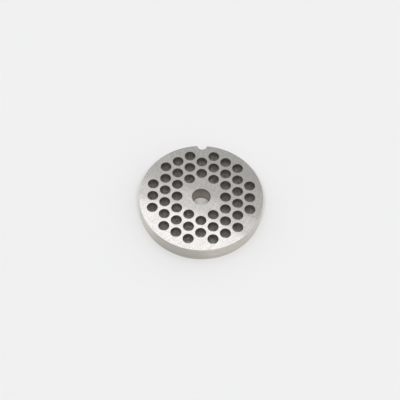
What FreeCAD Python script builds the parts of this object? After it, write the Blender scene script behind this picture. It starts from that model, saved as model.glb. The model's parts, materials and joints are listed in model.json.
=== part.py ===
import FreeCAD, Part
import cmath
import enum
import math
import os

import Sketcher

# Grinder plate: the flat, perforated steel disc that a meat grinder's knife turns against.
# It is one solid: a turned blank with a centre bore, a hexagonal field of grinding holes
# drilled straight through, and one half-round key notch milled into the rim.
# Both faces are ground flat and alike, so the plate can be turned over when one is worn.
# Frame: the origin is on the bore's axis in the back face, +Z points to the cutting face
# and +Y to the notch.

# Driving dimensions in millimetres
DIMENSIONS = (
    ("outer_diameter", "53.8", "rim of the plate"),
    ("thickness", "7.4", "from the back face to the cutting face"),
    ("bore_diameter", "8", "centre bore, the bearing of the auger's stub"),
    ("hole_diameter", "4.75", "each grinding hole"),
    ("web", "1.3", "steel between two grinding holes, and the least beside bore, rim and notch"),
    ("notch_radius", "2.1", "half-round key notch, centred on the rim"),
    ("rim_chamfer", "0.1", "edges of the rim, at both faces"),
    ("bore_chamfer", "0.1", "edges of the bore, at both faces"),
)

# The hole field is one sector of a hexagonal lattice, repeated round the bore. Its columns
# run along Y, and its slanted rows rise from X by half a sector.
SECTORS = 6
SLANT_DEGREES = 180 / SECTORS
PITCH = "(Sizes.hole_diameter + Sizes.web)"


class Axis(enum.IntEnum):
    """Numbers of a sketch's own axes."""
    HORIZONTAL = -1
    VERTICAL = -2


class Spot(enum.IntEnum):
    """Numbers of the points of a curve."""
    START = 1
    END = 2
    CENTRE = 3


# The origin of a sketch is the start of its horizontal axis
ORIGIN = (Axis.HORIZONTAL, Spot.START)


def driving_sheet(document):
    """The spreadsheet that every feature of the plate takes its sizes from."""
    sheet = document.addObject("Spreadsheet::Sheet", "Sizes")
    for row, (alias, value, meaning) in enumerate(DIMENSIONS, start=1):
        sheet.set(f"A{row}", alias)
        sheet.set(f"B{row}", value)
        sheet.set(f"C{row}", meaning)
        sheet.setAlias(f"B{row}", alias)
    document.recompute()
    return sheet


def origin_item(body, role):
    """One of the body's own origin planes or axes, found by its role."""
    return next(item for item in body.Origin.OriginFeatures if item.Role == role)


def plane_sketch(body, name, role):
    """An empty sketch that lies on one of the body's origin planes."""
    sketch = body.newObject("Sketcher::SketchObject", name)
    sketch.AttachmentSupport = [(origin_item(body, role), "")]
    sketch.MapMode = "FlatFace"
    return sketch


def drive(sketch, name, expression, kind, *where):
    """Add a named dimension to the sketch and bind it to the sheet."""
    value = float(sketch.evalExpression(expression))
    index = sketch.addConstraint(Sketcher.Constraint(kind, *where, value))
    sketch.renameConstraint(index, name)
    sketch.setExpression(f"Constraints.{name}", expression)


def add_circle(sketch, x, y, radius):
    """Add a circle to the sketch and return its number."""
    return sketch.addGeometry(Part.Circle(FreeCAD.Vector(x, y, 0), FreeCAD.Vector(0, 0, 1), radius))


def blank_profile(body, sheet):
    """Half section of the turned blank: bore wall, two faces and rim, with chamfered corners.

    It lies on the notch's side of the axis, so the notch takes the seam out of the rim.
    """
    sketch = plane_sketch(body, "BlankProfile", "YZ_Plane")
    bore = sheet.bore_diameter / 2
    rim = sheet.outer_diameter / 2
    top = sheet.thickness
    bore_cut = sheet.bore_chamfer
    rim_cut = sheet.rim_chamfer
    corners = [
        (bore + bore_cut, 0),
        (rim - rim_cut, 0),
        (rim, rim_cut),
        (rim, top - rim_cut),
        (rim - rim_cut, top),
        (bore + bore_cut, top),
        (bore, top - bore_cut),
        (bore, bore_cut),
    ]
    points = [FreeCAD.Vector(x, y, 0) for x, y in corners]
    ends = points[1:] + points[:1]
    lines = sketch.addGeometry([Part.LineSegment(a, b) for a, b in zip(points, ends)])
    back, rim_low, rim_wall, rim_high, front, bore_high, bore_wall, bore_low = lines
    for line, following in zip(lines, lines[1:] + lines[:1]):
        sketch.addConstraint(Sketcher.Constraint("Coincident", line, Spot.END, following, Spot.START))
    for face in (back, front):
        sketch.addConstraint(Sketcher.Constraint("Horizontal", face))
    for wall in (rim_wall, bore_wall):
        sketch.addConstraint(Sketcher.Constraint("Vertical", wall))
    sketch.addConstraint(Sketcher.Constraint("PointOnObject", back, Spot.START, Axis.HORIZONTAL))

    drive(sketch, "thickness", "Sizes.thickness", "DistanceY", back, Spot.END, front, Spot.START)
    drive(sketch, "rim_radius", "Sizes.outer_diameter / 2", "DistanceX", *ORIGIN, rim_wall, Spot.START)
    drive(sketch, "bore_radius", "Sizes.bore_diameter / 2", "DistanceX", *ORIGIN, bore_wall, Spot.START)

    # Each chamfer has the same leg along the face and along the wall
    chamfers = (
        ("rim_low", rim_low, "Sizes.rim_chamfer"),
        ("rim_high", rim_high, "Sizes.rim_chamfer"),
        ("bore_low", bore_low, "Sizes.bore_chamfer"),
        ("bore_high", bore_high, "Sizes.bore_chamfer"),
    )
    for name, line, leg in chamfers:
        edge = sketch.Geometry[line]
        spots = ((edge.StartPoint, Spot.START), (edge.EndPoint, Spot.END))
        left, right = [spot for point, spot in sorted(spots, key=lambda pair: pair[0].x)]
        low, high = [spot for point, spot in sorted(spots, key=lambda pair: pair[0].y)]
        drive(sketch, f"{name}_radial", leg, "DistanceX", line, left, line, right)
        drive(sketch, f"{name}_axial", leg, "DistanceY", line, low, line, high)
    return sketch


def lattice_place(across, up, pitch):
    """Where a lattice step lies, as x + y j from the bore's axis."""
    return pitch * complex(across * math.cos(math.radians(SLANT_DEGREES)), up + across / 2)


def sector_places(sheet):
    """Lattice steps (across, up) of the grinding holes in the sector beside the notch.

    A hole is drilled wherever it and its copies in the other sectors leave at least the web
    to the bore, to the rim and to the notch.
    """
    pitch = sheet.hole_diameter + sheet.web
    reach = sheet.hole_diameter / 2 + sheet.web
    rim = sheet.outer_diameter / 2
    bore = sheet.bore_diameter / 2
    notch = complex(0, rim)
    turns = [cmath.rect(1, 2 * math.pi * sector / SECTORS) for sector in range(SECTORS)]
    steps = range(math.ceil(rim / pitch) + 1)
    places = []
    for across in steps:
        for up in steps[1:]:
            place = lattice_place(across, up, pitch)
            to_notch = min(abs(place * turn - notch) for turn in turns)
            between_walls = bore + reach <= abs(place) <= rim - reach
            if between_walls and to_notch >= sheet.notch_radius + reach:
                places.append((across, up))
    return places


def sector_sketch(body, sheet):
    """The grinding holes of one sector, on the lattice of the bore's axis."""
    sketch = plane_sketch(body, "SectorSketch", "XY_Plane")
    pitch = sheet.hole_diameter + sheet.web
    first = None
    for across, up in sector_places(sheet):
        place = lattice_place(across, up, pitch)
        circle = add_circle(sketch, place.real, place.imag, sheet.hole_diameter / 2)
        name = f"hole_{across}_{up}"
        if across:
            column = f"{across} * cos({SLANT_DEGREES:g}) * {PITCH}"
            drive(sketch, f"{name}_column", column, "DistanceX", *ORIGIN, circle, Spot.CENTRE)
        else:
            sketch.addConstraint(Sketcher.Constraint("PointOnObject", circle, Spot.CENTRE, Axis.VERTICAL))
        row = f"({up} + {across} / 2) * {PITCH}"
        drive(sketch, f"{name}_row", row, "DistanceY", *ORIGIN, circle, Spot.CENTRE)
        if first is None:
            first = circle
            drive(sketch, "hole_diameter", "Sizes.hole_diameter", "Diameter", circle)
        else:
            sketch.addConstraint(Sketcher.Constraint("Equal", first, circle))
    return sketch


def notch_sketch(body, sheet):
    """Circle of the key notch, centred on the rim in line with +Y."""
    sketch = plane_sketch(body, "NotchSketch", "XY_Plane")
    circle = add_circle(sketch, 0, sheet.outer_diameter / 2, sheet.notch_radius)
    sketch.addConstraint(Sketcher.Constraint("PointOnObject", circle, Spot.CENTRE, Axis.VERTICAL))
    drive(sketch, "rim_radius", "Sizes.outer_diameter / 2", "DistanceY", *ORIGIN, circle, Spot.CENTRE)
    drive(sketch, "notch_radius", "Sizes.notch_radius", "Radius", circle)
    return sketch


def through_cut(body, name, sketch):
    """Cut the sketch through the whole plate, upwards from the back face."""
    cut = body.newObject("PartDesign::Pocket", name)
    cut.Profile = sketch
    cut.Type = "ThroughAll"
    cut.Reversed = True
    sketch.Visibility = False
    return cut


def grinder_plate(document, sheet):
    """The plate as one body: turned blank, drilled hole field, milled notch."""
    body = document.addObject("PartDesign::Body", "GrinderPlate")
    body.Label = "grinder_plate"
    body.Placement = FreeCAD.Placement()

    blank = body.newObject("PartDesign::Revolution", "Blank")
    blank.Profile = blank_profile(body, sheet)
    blank.ReferenceAxis = (origin_item(body, "Z_Axis"), [""])
    blank.Angle = 360
    document.recompute()

    sector = through_cut(body, "SectorHoles", sector_sketch(body, sheet))
    document.recompute()

    field = body.newObject("PartDesign::PolarPattern", "GrindingHoles")
    field.Originals = [sector]
    field.Axis = (origin_item(body, "Z_Axis"), [""])
    field.Angle = 360
    field.Occurrences = SECTORS
    body.Tip = field
    document.recompute()

    notch = through_cut(body, "KeyNotch", notch_sketch(body, sheet))
    body.Tip = notch
    document.recompute()

    volumes = [feature.Shape.Volume for feature in (blank, sector, field, notch)]
    if volumes != sorted(volumes, reverse=True) or len(set(volumes)) != len(volumes):
        raise RuntimeError(f"a cut removed nothing: {volumes}")
    return body


def check(document, bodies):
    """Stop when an object failed to recompute or a sub-part is not one valid solid."""
    for item in document.Objects:
        failed = {"Invalid", "Error"}.intersection(item.State)
        if failed:
            raise RuntimeError(f"{item.Label}: {sorted(failed)}")
        if item.TypeId == "Sketcher::SketchObject" and not item.FullyConstrained:
            raise RuntimeError(f"{item.Label}: its size isn't fully constrained")
    for body in bodies:
        shape = body.Shape
        if shape.isNull() or not shape.isValid() or len(shape.Solids) != 1:
            raise RuntimeError(f"{body.Label}: not one valid solid")


def main():
    document = FreeCAD.newDocument("GrinderPlate")
    sheet = driving_sheet(document)
    bodies = [grinder_plate(document, sheet)]
    check(document, bodies)
    os.makedirs("parts", exist_ok=True)
    for body in bodies:
        body.Shape.exportStep(f"parts/{body.Label}.step")
        print(body.Label, "volume", round(body.Shape.Volume, 1), "faces", len(body.Shape.Faces))


main()
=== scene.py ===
import json
import math
from typing import NamedTuple

import bpy
from mathutils import Matrix, Vector


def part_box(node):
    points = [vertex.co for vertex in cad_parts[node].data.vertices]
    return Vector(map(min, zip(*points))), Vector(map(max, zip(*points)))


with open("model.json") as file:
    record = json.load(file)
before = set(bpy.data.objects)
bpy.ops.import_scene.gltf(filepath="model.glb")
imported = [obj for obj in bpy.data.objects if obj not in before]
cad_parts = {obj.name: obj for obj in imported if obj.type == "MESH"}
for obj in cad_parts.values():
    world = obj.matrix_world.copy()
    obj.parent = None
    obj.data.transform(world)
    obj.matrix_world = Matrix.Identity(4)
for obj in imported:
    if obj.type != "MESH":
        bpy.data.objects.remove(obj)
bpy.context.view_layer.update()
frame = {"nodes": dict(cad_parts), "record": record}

# Grinder plate on a white studio table. It is one piece of bare tool steel, with a finish of its
# own on each kind of surface: ground faces, turned rim, drilled holes and reamed bore.
# All lengths are in metres, in the plate's own frame: +Z up through the bore, +Y to the notch.
# Azimuths and elevations are in degrees, and azimuth 0 is +Y and turns towards +X.

MM = 0.001
MICROMETRE = 0.001 * MM

PLATE = frame["nodes"]["grinder_plate"]
MOUNTS = {mount["name"]: mount for mount in frame["record"]["mounts"]}
BORE_RADIUS = MOUNTS["centre_bore"]["dims"]["r_mm"] * MM
RIM_RADIUS = MOUNTS["rim"]["dims"]["r_mm"] * MM
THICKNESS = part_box("grinder_plate")[1].z

# Camera, from the photograph's perspective. It aims beside the middle of the upper face.
CAMERA_LENS_MM = 95.95
CAMERA_SENSOR_MM = 36.0
CAMERA_AZIMUTH = 180.88
CAMERA_ELEVATION = 57.50
CAMERA_ROLL = math.radians(2.05)
CAMERA_DISTANCE = 460.0 * MM
CAMERA_AIM = Vector((-0.53, -1.77, 0)) * MM
CAMERA_CLIP_START = 10.0 * MM

# Brightness of the room, where 1 is white
ROOM_AT_WALLS = 0.69
ROOM_OVERHEAD = 0.65

# White backdrop at the horizon, and the sines of the elevations where it ends
BACKDROP = 0.87
BACKDROP_EDGE = (0.25, 0.5)

# Darker side of the room: its part of the room's brightness, its middle, and the cosines of the
# angles from there where it begins and is full
DARK_SIDE = 0.55
DARK_SIDE_AZIMUTH = 210.0
DARK_SIDE_EDGE = (0.45, 0.95)

# Key light behind the plate, of three discs on one centre, so that it fades outwards. Each has its
# radius in degrees and its share of the light on the table.
KEY_AZIMUTH = -15.0
KEY_ELEVATION = 71.8
KEY_DISCS = ((15.0, 0.032), (16.05, 0.0185), (17.5, 0.008))

# Fill lamps on the camera's side, each with its name, azimuth and share of the light on the table
FILL_ELEVATION = 60.0
FILL_RADIUS = 4.0
FILL_LAMPS = (("fill_right", 157.5, 0.145), ("fill_left", 202.5, 0.142))

# Table top, and its two tones
TABLE_HALF_SIZE = 4.0
TABLE_DARK = (0.89, 0.89, 0.892, 1)
TABLE_LIGHT = (0.905, 0.905, 0.912, 1)

# How far the finishes of the rim and the bore reach into the plate. The rim's takes in the key
# notch, but no grinding hole, and the bore's takes in its chamfers.
RIM_ZONE = 2.5 * MM
BORE_ZONE = 0.5 * MM

# Where the surface's normal is more upright than this, it is one of the two faces
UPRIGHT = 0.9

# Turned grooves spread the rim's shine by this much, a quarter turn from the way they run
GROOVE_SPREAD = 0.3
QUARTER_TURN = 0.25

# Edges are worn about this wide
WEAR_WIDTH = 0.08 * MM

# Centres of the grinding wheel's two sets of marks, in mm
WHEEL_CENTRES = ((-62.0, 38.0), (48.0, 57.0))

# A wheel mark is this many times longer than wide
WHEEL_MARK_STRETCH = 12

# Painted shade: the faces are darker towards the right, and the rim is darkest at the left of the
# camera's side
FACE_SHADE_SIDE = Vector((0.8, 0.6, 0))
RIM_SHADE_SIDE = Vector((-0.39, -0.92, 0))

# Patches on the faces are rougher by this much, and this range of a noise is their soft edge
PATCH_ROUGHNESS = 0.006
PATCH_EDGE = (0.35, 0.65)


class Finish(NamedTuple):
    """A worked surface, whose marks go from 0 at their lowest to 1 at their highest.

    Contrast is the range of the marks in which dark turns to light, rough is the roughness at
    0 and at 1, and depth is the height from 0 to 1 in micrometres.
    """
    dark: tuple
    light: tuple
    contrast: tuple
    rough: tuple
    depth: float


class Layer(NamedTuple):
    """Another colour over a finish, which comes in up to its share from start to end."""
    colour: tuple
    start: float
    end: float
    share: float


# The contrast of the ground faces is that of two noises added up
GROUND = Finish(
    dark=(0.49, 0.478, 0.463, 1),
    light=(0.69, 0.672, 0.649, 1),
    contrast=(0.7, 1.3),
    rough=(0.045, 0.03),
    depth=0.15,
)
TURNED = Finish(
    dark=(0.512, 0.488, 0.447, 1),
    light=(0.675, 0.644, 0.59, 1),
    contrast=(0.35, 0.65),
    rough=(0.18, 0.3),
    depth=4.0,
)
DRILLED = Finish(
    dark=(0.35, 0.342, 0.314, 1),
    light=(0.84, 0.82, 0.77, 1),
    contrast=(0.35, 0.65),
    rough=(0.38, 0.55),
    depth=9.0,
)
REAMED = Finish(
    dark=(0.302, 0.262, 0.22, 1),
    light=(0.427, 0.372, 0.317, 1),
    contrast=(0.3, 0.7),
    rough=(0.3, 0.42),
    depth=4.0,
)

# Layers that come in with a distance across the plate or a height, in mm
# Painted shade that darkens the faces towards the right
GROUND_PAINTED_SHADE = Layer((0.43, 0.42, 0.405, 1), start=10.0, end=26.0, share=0.25)
# Painted light that makes the rim lighter towards its top
TURNED_PAINTED_LIGHT = Layer((0.76, 0.73, 0.67, 1), start=2.0, end=6.5, share=0.3)
# Painted shade that darkens the hole walls towards the cutting face
DRILLED_PAINTED_SHADE = Layer((0.14, 0.135, 0.122, 1), start=2.8, end=6.2, share=0.58)
REAMED_GREY = Layer((0.282, 0.266, 0.243, 1), start=1.4, end=3.2, share=0.9)

# Layers that come in with a noise
TURNED_STAIN = Layer((0.455, 0.42, 0.374, 1), start=0.5, end=0.75, share=0.5)
DRILLED_PATCH = Layer((0.55, 0.52, 0.48, 1), start=0.35, end=0.65, share=0.6)

# Layers that come in with the cosine of an angle
# Painted shade that darkens the rim at the left of the camera's side
TURNED_PAINTED_SHADE = Layer((0.415, 0.392, 0.362, 1), start=0.8, end=1.0, share=0.65)
WORN_EDGE = Layer((0.7, 0.69, 0.67, 1), start=0.99, end=0.8, share=0.3)


def add_node(tree, kind, inputs=None, **settings):
    """Add a shader node. Each input gets a value, or a link where the value is a socket."""
    node = tree.nodes.new(kind)
    for name, value in settings.items():
        setattr(node, name, value)
    for name, value in (inputs or {}).items():
        if isinstance(value, bpy.types.NodeSocket):
            tree.links.new(value, node.inputs[name])
        else:
            node.inputs[name].default_value = value
    return node


def maths(tree, operation, first, second=0.0):
    """One step of arithmetic on values."""
    node = add_node(tree, "ShaderNodeMath", {0: first, 1: second}, operation=operation)
    return node.outputs[0]


def vector_maths(tree, operation, first, second=(0, 0, 0)):
    """One step of arithmetic on vectors."""
    node = add_node(tree, "ShaderNodeVectorMath", {0: first, 1: second}, operation=operation)
    return node.outputs["Value" if operation in ("LENGTH", "DOT_PRODUCT") else "Vector"]


def level_part(tree, vector):
    """The part of a vector that is level with the table."""
    return vector_maths(tree, "MULTIPLY", vector, (1, 1, 0))


def split(tree, vector):
    """The three components of a vector."""
    return add_node(tree, "ShaderNodeSeparateXYZ", {"Vector": vector}).outputs


def true_normal(tree):
    """The direction that the surface faces, without its relief."""
    return add_node(tree, "ShaderNodeNewGeometry").outputs["True Normal"]


def ramp(tree, value, start, end, low=0.0, high=1.0):
    """Smooth change from low to high while the value goes from start to end."""
    inputs = {"Value": value, "From Min": start, "From Max": end, "To Min": low, "To Max": high}
    node = add_node(tree, "ShaderNodeMapRange", inputs, interpolation_type="SMOOTHSTEP")
    return node.outputs["Result"]


def mix_values(tree, factor, first, second):
    """First where the factor is 0, second where it is 1."""
    node = add_node(tree, "ShaderNodeMix", {0: factor, 2: first, 3: second}, data_type="FLOAT")
    return node.outputs[0]


def mix_colours(tree, factor, first, second):
    """First colour where the factor is 0, second where it is 1."""
    node = add_node(tree, "ShaderNodeMix", {0: factor, 6: first, 7: second}, data_type="RGBA")
    return node.outputs[2]


def noise(tree, vector, scale, detail=3.0, roughness=0.5):
    """Noise from 0 to 1 with the given number of features per unit of the vector."""
    inputs = {"Vector": vector, "Scale": scale, "Detail": detail, "Roughness": roughness}
    return add_node(tree, "ShaderNodeTexNoise", inputs).outputs["Fac"]


def stretched_noise(tree, vector, scales, detail=3.0, roughness=0.5):
    """Noise from 0 to 1 that has its own number of features per unit along each axis."""
    stretched = vector_maths(tree, "MULTIPLY", vector, scales)
    return noise(tree, stretched, 1.0, detail=detail, roughness=roughness)


def new_material(name):
    """An empty node material and its tree."""
    material = bpy.data.materials.new(name)
    material.use_nodes = True
    material.node_tree.nodes.clear()
    return material, material.node_tree


def marked_steel(tree, finish, tone, relief):
    """Colour of a finish, by its marks' tone, and its roughness and height, by their relief."""
    colour = mix_colours(tree, tone, finish.dark, finish.light)
    rough = mix_values(tree, relief, *finish.rough)
    return colour, rough, maths(tree, "MULTIPLY", relief, finish.depth)


def add_layer(tree, colour, layer, value):
    """A colour with the layer over it, which comes in with the value."""
    share = ramp(tree, value, layer.start, layer.end, high=layer.share)
    return mix_colours(tree, share, colour, layer.colour)


# Each finish gives a colour, a roughness and a height in micrometres, from the place in mm

def wheel_marks(tree, place, centre):
    """Faint arcs that a grinding wheel leaves, round a centre beside the plate."""
    offset = vector_maths(tree, "SUBTRACT", place, (*centre, 0))
    x, y, z = split(tree, offset)
    distance = vector_maths(tree, "LENGTH", level_part(tree, offset))
    squeezed_radius = math.hypot(*centre) / WHEEL_MARK_STRETCH
    along = maths(tree, "MULTIPLY", maths(tree, "ARCTAN2", y, x), squeezed_radius)
    arcs = add_node(tree, "ShaderNodeCombineXYZ", {"X": distance, "Y": along, "Z": z})
    return noise(tree, arcs.outputs["Vector"], scale=1.6, detail=4.0, roughness=0.65)


def ground_finish(tree, place):
    """Faces: two sets of wheel marks that cross, fine grain, rougher patches and painted shade
    towards the right.
    """
    first, second = (wheel_marks(tree, place, centre) for centre in WHEEL_CENTRES)
    arcs = maths(tree, "MULTIPLY", maths(tree, "ADD", first, second), 0.5)
    grain = noise(tree, place, scale=2.8, detail=2.0, roughness=0.7)
    marks = ramp(tree, maths(tree, "ADD", arcs, grain), *GROUND.contrast)
    colour, rough, height = marked_steel(tree, GROUND, tone=marks, relief=marks)
    # Painted shade, darker towards the right of the faces
    toward_painted_shade = vector_maths(tree, "DOT_PRODUCT", place, FACE_SHADE_SIDE)
    colour = add_layer(tree, colour, GROUND_PAINTED_SHADE, toward_painted_shade)
    patches = noise(tree, place, scale=0.11, detail=2.0)
    rougher = ramp(tree, patches, *PATCH_EDGE, high=PATCH_ROUGHNESS)
    return colour, maths(tree, "ADD", rough, rougher), height


def turned_finish(tree, place):
    """Rim and chamfers: grooves round the plate, stains, a stretch of painted shade, and painted
    light near the top.
    """
    grooves = stretched_noise(tree, place, scales=(0.03, 0.03, 1.5), detail=4.0, roughness=0.7)
    tone = ramp(tree, grooves, *TURNED.contrast)
    colour, rough, height = marked_steel(tree, TURNED, tone, relief=grooves)
    # Painted light, lighter towards the top of the rim
    colour = add_layer(tree, colour, TURNED_PAINTED_LIGHT, split(tree, place)["Z"])
    stains = stretched_noise(tree, place, scales=(0.5, 0.5, 0.6), detail=3.0, roughness=0.6)
    colour = add_layer(tree, colour, TURNED_STAIN, stains)
    # Painted shade, darkest on the rim at the left of the camera's side
    outwards = vector_maths(tree, "NORMALIZE", level_part(tree, place))
    toward_painted_shade = vector_maths(tree, "DOT_PRODUCT", outwards, RIM_SHADE_SIDE)
    return add_layer(tree, colour, TURNED_PAINTED_SHADE, toward_painted_shade), rough, height


def drilled_finish(tree, place):
    """Grinding holes: rough walls in dark and light patches, with painted shade near the cutting
    face.
    """
    marks = stretched_noise(tree, place, scales=(1.2, 1.2, 0.9), detail=2.0, roughness=0.6)
    tone = ramp(tree, marks, *DRILLED.contrast)
    colour, rough, height = marked_steel(tree, DRILLED, tone, relief=marks)
    patches = stretched_noise(tree, place, scales=(0.16, 0.16, 0.05), detail=1.0)
    colour = add_layer(tree, colour, DRILLED_PATCH, patches)
    # Painted shade, darker towards the cutting face
    return add_layer(tree, colour, DRILLED_PAINTED_SHADE, split(tree, place)["Z"]), rough, height


def reamed_finish(tree, place):
    """Bore: brownish wall with fine rings, greyer towards both faces."""
    rings = stretched_noise(tree, place, scales=(0.3, 0.3, 4.0), detail=3.0, roughness=0.6)
    tone = ramp(tree, rings, *REAMED.contrast)
    colour, rough, height = marked_steel(tree, REAMED, tone, relief=rings)
    middle = THICKNESS / MM / 2
    off_middle = maths(tree, "ABSOLUTE", maths(tree, "SUBTRACT", split(tree, place)["Z"], middle))
    return add_layer(tree, colour, REAMED_GREY, off_middle), rough, height


def add_wear(tree, colour):
    """A colour with worn edges, which are where a rounded normal leaves the true one."""
    rounded = add_node(tree, "ShaderNodeBevel", {"Radius": WEAR_WIDTH}, samples=4).outputs["Normal"]
    turn = vector_maths(tree, "DOT_PRODUCT", true_normal(tree), rounded)
    return add_layer(tree, colour, WORN_EDGE, turn)


def steel_material():
    """Bare tool steel, with the finish that belongs to each surface."""
    material, tree = new_material("ground_steel")
    position = add_node(tree, "ShaderNodeTexCoord").outputs["Object"]
    place = vector_maths(tree, "DIVIDE", position, (MM, MM, MM))
    radius = vector_maths(tree, "LENGTH", level_part(tree, position))
    upright = maths(tree, "ABSOLUTE", split(tree, true_normal(tree))["Z"])
    flat = maths(tree, "GREATER_THAN", upright, UPRIGHT)
    on_rim = maths(tree, "GREATER_THAN", radius, RIM_RADIUS - RIM_ZONE)
    in_bore = maths(tree, "LESS_THAN", radius, BORE_RADIUS + BORE_ZONE)

    colour, rough, height = drilled_finish(tree, place)
    finishes = (
        (on_rim, turned_finish(tree, place)),
        (in_bore, reamed_finish(tree, place)),
        (flat, ground_finish(tree, place)),
    )
    for where, (own_colour, own_rough, own_height) in finishes:
        colour = mix_colours(tree, where, colour, own_colour)
        rough = mix_values(tree, where, rough, own_rough)
        height = mix_values(tree, where, height, own_height)

    grooved = maths(tree, "GREATER_THAN", on_rim, flat)
    relief = add_node(tree, "ShaderNodeBump", {"Height": height, "Distance": MICROMETRE})
    round_rim = add_node(tree, "ShaderNodeTangent", direction_type="RADIAL", axis="Z")
    inputs = {
        "Base Color": add_wear(tree, colour),
        "Metallic": 1.0,
        "Roughness": rough,
        "Normal": relief.outputs["Normal"],
        "Anisotropic": maths(tree, "MULTIPLY", grooved, GROOVE_SPREAD),
        "Anisotropic Rotation": QUARTER_TURN,
        "Tangent": round_rim.outputs["Tangent"],
    }
    shader = add_node(tree, "ShaderNodeBsdfPrincipled", inputs)
    add_node(tree, "ShaderNodeOutputMaterial", {"Surface": shader.outputs["BSDF"]})
    return material


def floor():
    """Plain white table top, with the faintest unevenness of tone."""
    half = TABLE_HALF_SIZE
    mesh = bpy.data.meshes.new("floor")
    corners = [(-half, -half, 0), (half, -half, 0), (half, half, 0), (-half, half, 0)]
    mesh.from_pydata(corners, [], [(0, 1, 2, 3)])
    table = bpy.data.objects.new("floor", mesh)
    bpy.context.scene.collection.objects.link(table)
    material, tree = new_material("white_table")
    position = add_node(tree, "ShaderNodeTexCoord").outputs["Object"]
    tone = noise(tree, position, scale=9.0, detail=2.0)
    colour = mix_colours(tree, tone, TABLE_DARK, TABLE_LIGHT)
    shader = add_node(tree, "ShaderNodeBsdfDiffuse", {"Color": colour})
    add_node(tree, "ShaderNodeOutputMaterial", {"Surface": shader.outputs["BSDF"]})
    mesh.materials.append(material)


def direction_to(azimuth, elevation):
    """Unit vector from the plate to a place round it."""
    azimuth = math.radians(azimuth)
    elevation = math.radians(elevation)
    level = math.cos(elevation)
    return Vector((level * math.sin(azimuth), level * math.cos(azimuth), math.sin(elevation)))


def soft_lamp(name, azimuth, elevation, radius, share):
    """A round, evenly bright patch of sky, with its radius in degrees.

    Its share is its part of the light on the table, where 1 in all shows a colour as it is written.
    """
    lamp = bpy.data.lights.new(name, "SUN")
    lamp.angle = math.radians(2 * radius)
    lamp.energy = share * math.pi / math.sin(math.radians(elevation))
    holder = bpy.data.objects.new(name, lamp)
    bpy.context.scene.collection.objects.link(holder)
    holder.rotation_euler = direction_to(azimuth, elevation).to_track_quat("Z", "Y").to_euler()


def lamps():
    """A soft key light behind the plate, and two fill lamps on the camera's side."""
    for number, (radius, share) in enumerate(KEY_DISCS):
        soft_lamp(f"key_{number}", KEY_AZIMUTH, KEY_ELEVATION, radius, share)
    for name, azimuth, share in FILL_LAMPS:
        soft_lamp(name, azimuth, FILL_ELEVATION, FILL_RADIUS, share)


def room():
    """Pale room, with a darker side where the camera stands.

    The camera and the steel's reflections see a white backdrop at the horizon.
    """
    world = bpy.data.worlds.new("room")
    world.use_nodes = True
    tree = world.node_tree
    direction = add_node(tree, "ShaderNodeTexCoord").outputs["Generated"]
    height = split(tree, direction)["Z"]
    light = ramp(tree, height, 0.0, 1.0, low=ROOM_AT_WALLS, high=ROOM_OVERHEAD)
    nearness = vector_maths(tree, "DOT_PRODUCT", direction, direction_to(DARK_SIDE_AZIMUTH, 0))
    dimming = ramp(tree, nearness, *DARK_SIDE_EDGE, low=1.0, high=DARK_SIDE)
    light = maths(tree, "MULTIPLY", light, dimming)
    backdrop = mix_values(tree, ramp(tree, height, *BACKDROP_EDGE), BACKDROP, light)
    path = add_node(tree, "ShaderNodeLightPath").outputs
    seen = maths(tree, "MAXIMUM", path["Is Camera Ray"], path["Is Glossy Ray"])
    seen = maths(tree, "MAXIMUM", seen, path["Is Transmission Ray"])
    background = tree.nodes["Background"]
    background.inputs["Color"].default_value = (1, 1, 1, 1)
    tree.links.new(mix_values(tree, seen, light, backdrop), background.inputs["Strength"])
    bpy.context.scene.world = world


def camera():
    """The photograph's camera."""
    back = direction_to(CAMERA_AZIMUTH, CAMERA_ELEVATION)
    right = Vector((0, 0, 1)).cross(back).normalized()
    up = back.cross(right)
    facing = Matrix((right, up, back)).transposed().to_4x4()
    lens = bpy.data.cameras.new("camera")
    lens.lens = CAMERA_LENS_MM
    lens.sensor_width = CAMERA_SENSOR_MM
    lens.clip_start = CAMERA_CLIP_START
    viewer = bpy.data.objects.new("camera", lens)
    bpy.context.scene.collection.objects.link(viewer)
    aim = CAMERA_AIM + Vector((0, 0, THICKNESS))
    stand = Matrix.Translation(aim + back * CAMERA_DISTANCE)
    viewer.matrix_world = stand @ facing @ Matrix.Rotation(CAMERA_ROLL, 4, "Z")
    bpy.context.scene.camera = viewer


PLATE.data.materials.clear()
PLATE.data.materials.append(steel_material())
floor()
room()
lamps()
camera()
bpy.context.scene.view_settings.view_transform = "Standard"
